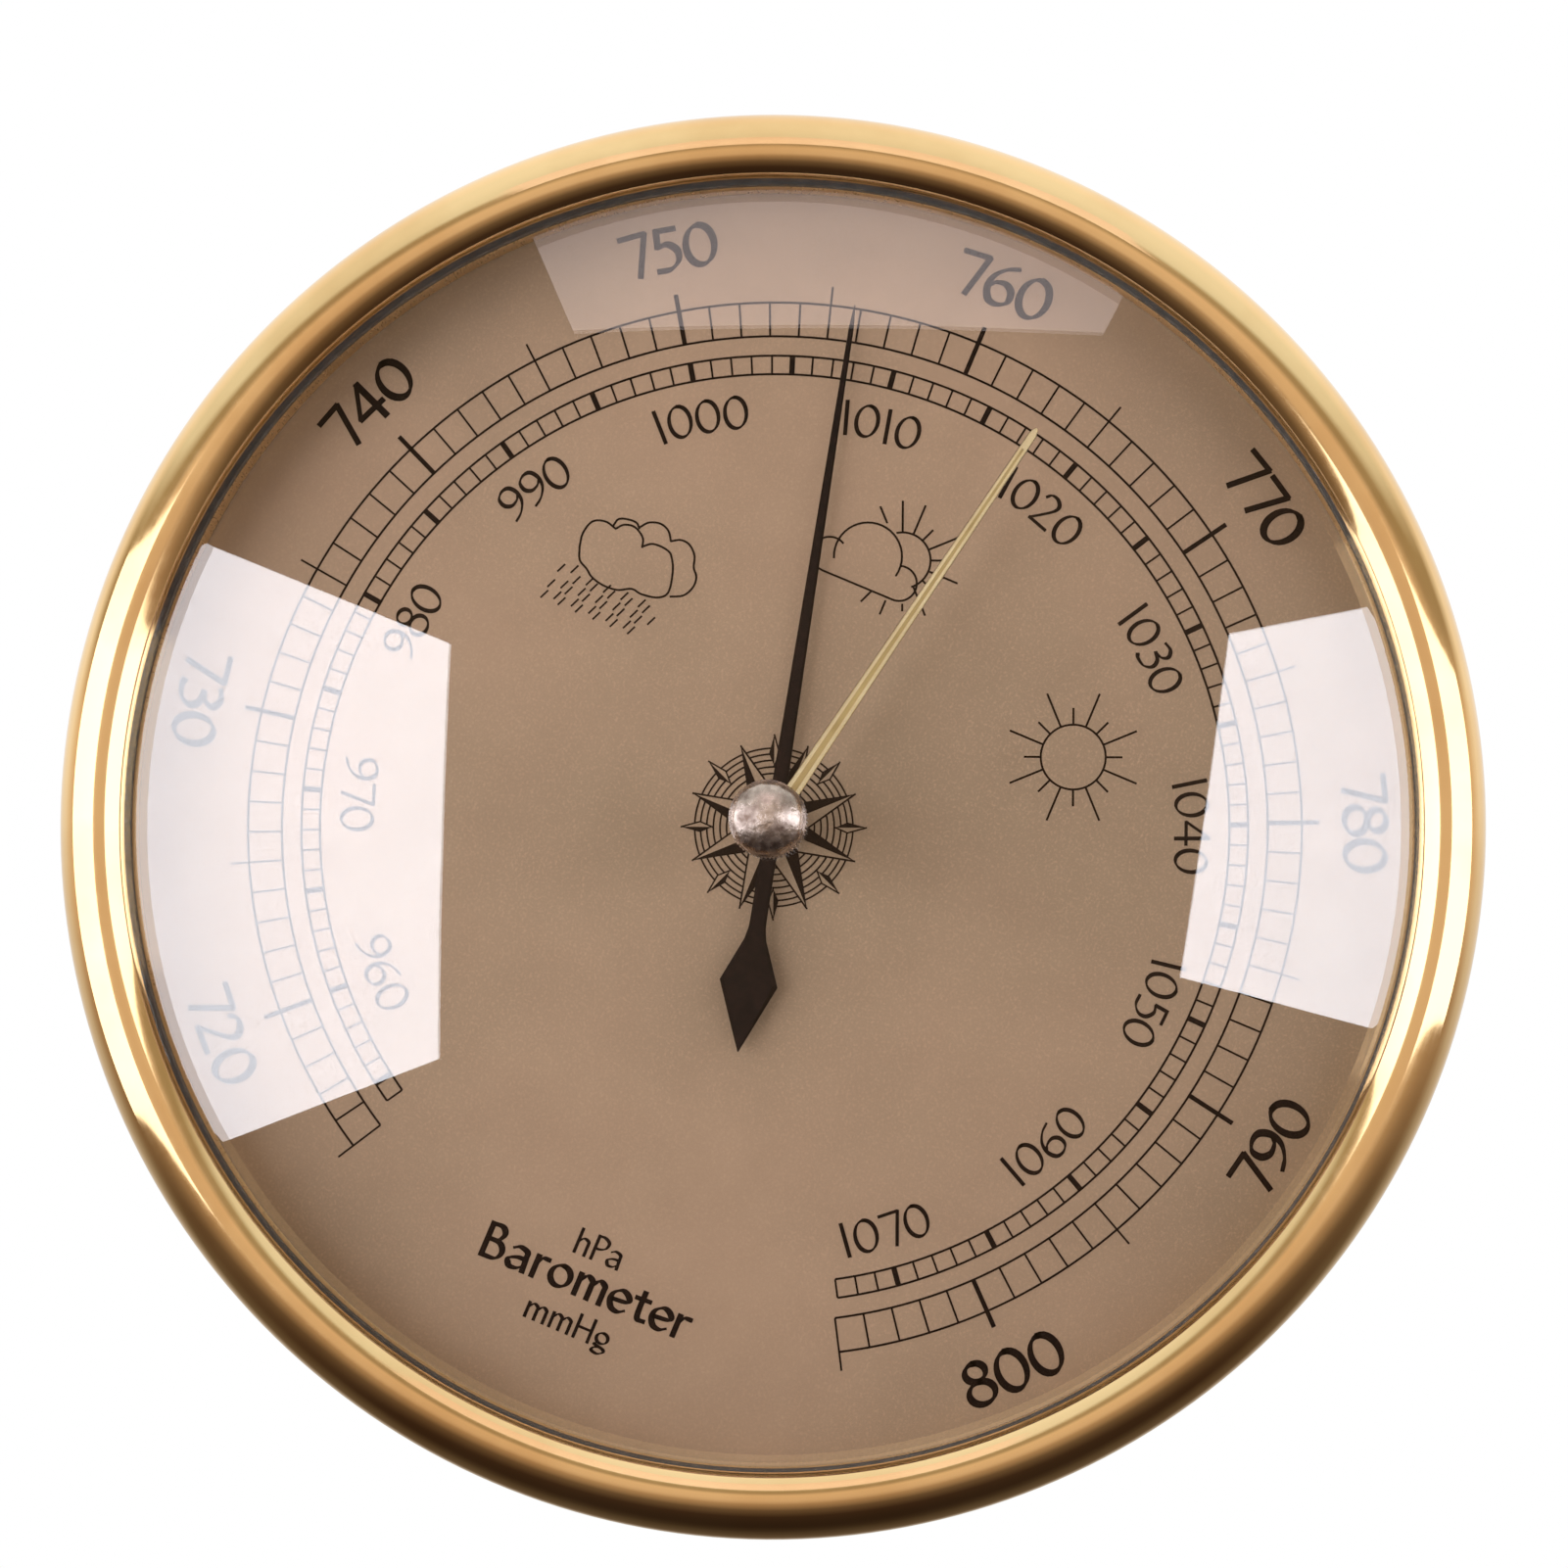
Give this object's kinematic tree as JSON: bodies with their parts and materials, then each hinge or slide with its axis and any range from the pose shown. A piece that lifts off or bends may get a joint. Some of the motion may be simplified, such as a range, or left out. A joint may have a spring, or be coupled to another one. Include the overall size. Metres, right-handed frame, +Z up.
{
  "type": "aneroid barometer",
  "caption": "Round wall barometer: capsule, lever and chain movement in a cup case, domed glass, pressure hand and a set hand turned by a knob.",
  "frame": {"origin": "centre of the case's flat back face, where the wall is; the hands turn about the line through it", "axes": "+Z up (twelve o'clock of the dial), +X to the reader's right, -Y out of the wall towards the reader"},
  "size_m": [0.128, 0.0453, 0.128],
  "materials": {
    "bezel_brass": "polished, lacquered",
    "case_brass": "spun, lacquered",
    "lens_glass": "polished, domed",
    "gasket_rubber": "matt",
    "dial_champagne": "satin metallic lacquer",
    "hand_black": "black lacquer",
    "set_hand_gold": "polished",
    "knob_nickel": "polished nickel",
    "movement_brass": "brushed",
    "movement_steel": "brushed",
    "spring_blue": "blued",
    "capsule_bronze": "bright, corrugated",
    "dial_print": "dark brown ink",
    "washer_fibre": "matt red-brown fibre"
  },
  "bodies": {
    "case": {"case_cup": "case_brass", "case_pillar_1": "movement_brass", "case_pillar_2": "movement_brass", "case_pillar_3": "movement_brass", "case_screw_1": "movement_steel", "case_screw_2": "movement_steel", "case_screw_3": "movement_steel", "bezel": "bezel_brass", "glass_lens": "lens_glass", "lens_gasket": "gasket_rubber", "dial_spacer_ring": "movement_brass", "dial_plate": "dial_champagne", "movement_plate": "movement_brass", "bridge": "movement_brass", "bridge_screw_1": "movement_steel", "bridge_screw_2": "movement_steel", "spring_clamp": "movement_steel", "clamp_screw_1": "movement_steel", "clamp_screw_2": "movement_steel", "capsule_lower": "capsule_bronze", "capsule_foot": "movement_brass", "capsule_nut": "movement_steel", "crank_bearing": "movement_brass", "end_bearing": "movement_brass", "arbor_lower_bar": "movement_brass", "arbor_upper_bar": "movement_brass", "hairspring": "spring_blue", "hairspring_stud": "movement_brass", "frame_post_1": "movement_brass", "frame_post_2": "movement_brass", "frame_spacer_1": "movement_brass", "frame_spacer_2": "movement_brass", "frame_screw_1": "movement_steel", "frame_screw_2": "movement_steel"},
    "pressure_hand": {"pressure_hand": "hand_black", "hand_collet": "movement_brass", "hand_arbor": "movement_steel"},
    "set_hand": {"set_hand": "set_hand_gold", "set_shaft": "movement_brass", "set_knob": "knob_nickel", "set_spring_washer": "movement_steel", "set_fibre_washer": "washer_fibre"},
    "adjusting_screw": {"adjusting_screw": "movement_steel"},
    "capsule_top": {"capsule_upper": "capsule_bronze", "capsule_post": "movement_brass", "knife_edge_pin": "spring_blue"},
    "main_lever": {"mainspring": "spring_blue", "main_lever": "movement_steel", "lever_rivet_1": "movement_brass", "lever_rivet_2": "movement_brass"},
    "link": {"link_rod": "movement_steel", "regulating_nut_upper": "movement_brass", "regulating_nut_lower": "movement_brass"},
    "rocker": {"rocking_shaft": "movement_steel", "chain_arm": "movement_brass", "rocker_counterweight": "movement_brass"},
    "chain": {"fusee_chain": "movement_steel"}
  },
  "joints": [
    {"name": "hand_turn", "type": "hinge", "parent": "case", "child": "pressure_hand", "pos_m": [0, -0.026, 0], "axis": [0, 1, 0], "range_deg": [-137, 165], "stiffness_Nm_per_rad": 0.00015},
    {"name": "set_turn", "type": "hinge", "parent": "case", "child": "set_hand", "pos_m": [0, -0.039, 0], "axis": [0, 1, 0], "continuous": true},
    {"name": "adjuster_turn", "type": "hinge", "parent": "case", "child": "adjusting_screw", "pos_m": [-0.0353, -0.0045, -0.009], "axis": [0, 1, 0], "range_deg": [-720, 720]},
    {"name": "capsule_breathe", "type": "slide", "parent": "case", "child": "capsule_top", "axis": [0, 1, 0], "range_m": [-0.000136, 0.000164]},
    {"name": "lever_tilt", "type": "hinge", "parent": "case", "child": "main_lever", "pos_m": [-0.0265, -0.0175, -0.009], "axis": [0, 0, 1], "range_deg": [-0.5, 0.6]},
    {"name": "link_travel", "type": "slide", "parent": "case", "child": "link", "axis": [0, 1, 0], "range_m": [-0.0004, 0.0005]},
    {"name": "rocker_turn", "type": "hinge", "parent": "case", "child": "rocker", "pos_m": [0.02, -0.01, 0], "axis": [0, 0, 1], "range_deg": [-13, 16]},
    {"name": "chain_travel", "type": "slide", "parent": "case", "child": "chain", "axis": [1, 0, 0], "range_m": [-0.002, 0.0024]}
  ],
  "couplings": [
    {"joint": "hand_turn", "follows": "capsule_breathe", "rad_per_m": 17453},
    {"joint": "lever_tilt", "follows": "capsule_breathe", "rad_per_m": 57.143},
    {"joint": "link_travel", "follows": "capsule_breathe", "ratio": 2.7543},
    {"joint": "rocker_turn", "follows": "capsule_breathe", "rad_per_m": 1620.2},
    {"joint": "chain_travel", "follows": "capsule_breathe", "ratio": 13.771}
  ]
}
